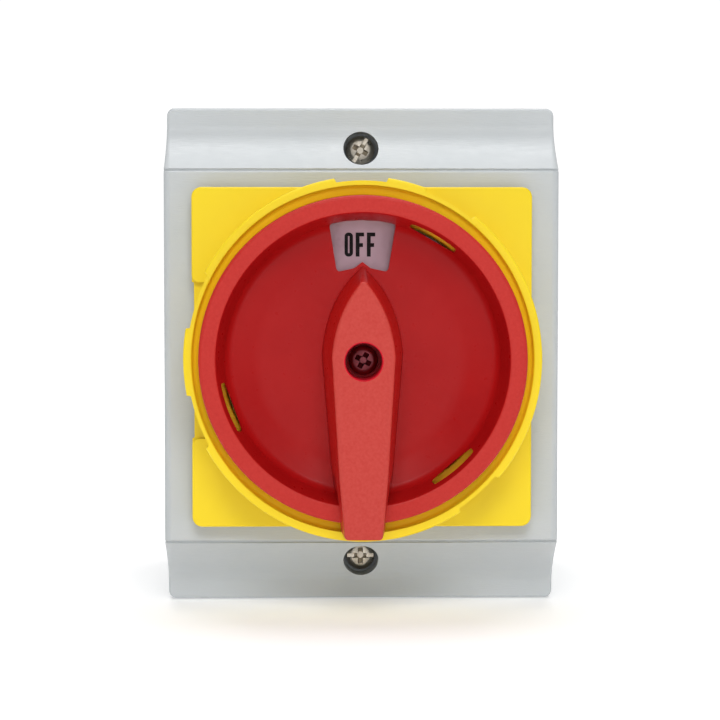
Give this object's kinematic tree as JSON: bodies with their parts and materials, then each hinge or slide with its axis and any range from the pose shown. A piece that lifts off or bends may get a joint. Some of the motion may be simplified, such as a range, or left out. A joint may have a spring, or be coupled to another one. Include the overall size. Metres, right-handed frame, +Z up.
{
  "type": "enclosed rotary isolator switch",
  "caption": "Wall-mounted rotary isolator in a grey box: red padlockable knob with a pointed grip, yellow plate and collar, cam contacts inside.",
  "frame": {"origin": "centre of the enclosure's back face, which lies on the wall", "axes": "+X to the right seen from the front, +Y into the wall (the front faces -Y), +Z up; the knob turns about the Y axis"},
  "size_m": [0.075, 0.0875, 0.0954],
  "materials": {
    "grey_housing": "fine moulded light grey plastic",
    "yellow_plastic": "satin yellow plastic",
    "red_plastic": "fine textured red plastic, smoother in the dish",
    "silver_dial": "satin silver foil",
    "black_plastic": "moulded black thermoset",
    "ivory_plastic": "smooth ivory plastic",
    "rubber": "soft black rubber",
    "nickel_screw": "nickel-plated steel",
    "steel": "zinc-plated steel",
    "brass": "plain brass",
    "copper": "silvered copper alloy"
  },
  "bodies": {
    "enclosure": {"base_box": "grey_housing", "contact_housing_1": "black_plastic", "contact_housing_2": "black_plastic", "contact_spring_1_left": "steel", "contact_spring_1_right": "steel", "contact_spring_2_left": "steel", "contact_spring_2_right": "steel", "cover": "grey_housing", "cover_gasket": "rubber", "cover_screw_bottom": "nickel_screw", "cover_screw_top": "nickel_screw", "detent_housing": "black_plastic", "detent_spring_left": "steel", "detent_spring_right": "steel", "dial_plate": "silver_dial", "earth_screw": "brass", "earth_terminal": "brass", "end_plate": "black_plastic", "fixed_contact_1_left_lower": "copper", "fixed_contact_1_left_upper": "copper", "fixed_contact_1_right_lower": "copper", "fixed_contact_1_right_upper": "copper", "fixed_contact_2_left_lower": "copper", "fixed_contact_2_left_upper": "copper", "fixed_contact_2_right_lower": "copper", "fixed_contact_2_right_upper": "copper", "mounting_frame": "black_plastic", "mounting_screw_1": "steel", "mounting_screw_2": "steel", "mounting_screw_3": "steel", "mounting_screw_4": "steel", "plate_seal": "rubber", "shaft_seal": "rubber", "terminal_screw_1_left_lower": "nickel_screw", "terminal_screw_1_left_upper": "nickel_screw", "terminal_screw_1_right_lower": "nickel_screw", "terminal_screw_1_right_upper": "nickel_screw", "terminal_screw_2_left_lower": "nickel_screw", "terminal_screw_2_left_upper": "nickel_screw", "terminal_screw_2_right_lower": "nickel_screw", "terminal_screw_2_right_upper": "nickel_screw", "tie_bolt_bottom": "steel", "tie_bolt_top": "steel", "yellow_collar": "yellow_plastic", "yellow_plate": "yellow_plastic"},
    "rotor": {"knob": "red_plastic", "knob_screw": "nickel_screw", "knob_washer": "steel", "shaft": "steel", "index_wheel": "ivory_plastic", "cam_1": "ivory_plastic", "cam_2": "ivory_plastic"},
    "detent_right": {"detent_plunger_right": "ivory_plastic"},
    "detent_left": {"detent_plunger_left": "ivory_plastic"},
    "bridge_1_right": {"contact_bridge_1_right": "copper"},
    "bridge_1_left": {"contact_bridge_1_left": "copper"},
    "bridge_2_right": {"contact_bridge_2_right": "copper"},
    "bridge_2_left": {"contact_bridge_2_left": "copper"}
  },
  "joints": [
    {"name": "knob_turn", "type": "hinge", "parent": "enclosure", "child": "rotor", "pos_m": [0, 0, 0], "axis": [0, 1, 0], "range_deg": [0, 90]},
    {"name": "detent_right_slide", "type": "slide", "parent": "enclosure", "child": "detent_right", "axis": [-1, 0, 0], "range_m": [0, 0.0011], "stiffness_N_per_m": 300, "deforming": ["detent_spring_right"]},
    {"name": "detent_left_slide", "type": "slide", "parent": "enclosure", "child": "detent_left", "axis": [1, 0, 0], "range_m": [0, 0.0011], "stiffness_N_per_m": 300, "deforming": ["detent_spring_left"]},
    {"name": "bridge_1_right_slide", "type": "slide", "parent": "enclosure", "child": "bridge_1_right", "axis": [-1, 0, 0], "range_m": [0, 0.002], "deforming": ["contact_spring_1_right"]},
    {"name": "bridge_1_left_slide", "type": "slide", "parent": "enclosure", "child": "bridge_1_left", "axis": [1, 0, 0], "range_m": [0, 0.002], "deforming": ["contact_spring_1_left"]},
    {"name": "bridge_2_right_slide", "type": "slide", "parent": "enclosure", "child": "bridge_2_right", "axis": [-1, 0, 0], "range_m": [0, 0.002], "deforming": ["contact_spring_2_right"]},
    {"name": "bridge_2_left_slide", "type": "slide", "parent": "enclosure", "child": "bridge_2_left", "axis": [1, 0, 0], "range_m": [0, 0.002], "deforming": ["contact_spring_2_left"]}
  ],
  "couplings": [
    {"joint": "bridge_1_right_slide", "follows": "knob_turn", "m_per_rad": 0.0012732},
    {"joint": "bridge_1_left_slide", "follows": "knob_turn", "m_per_rad": 0.0012732},
    {"joint": "bridge_2_right_slide", "follows": "knob_turn", "m_per_rad": 0.0012732},
    {"joint": "bridge_2_left_slide", "follows": "knob_turn", "m_per_rad": 0.0012732}
  ]
}
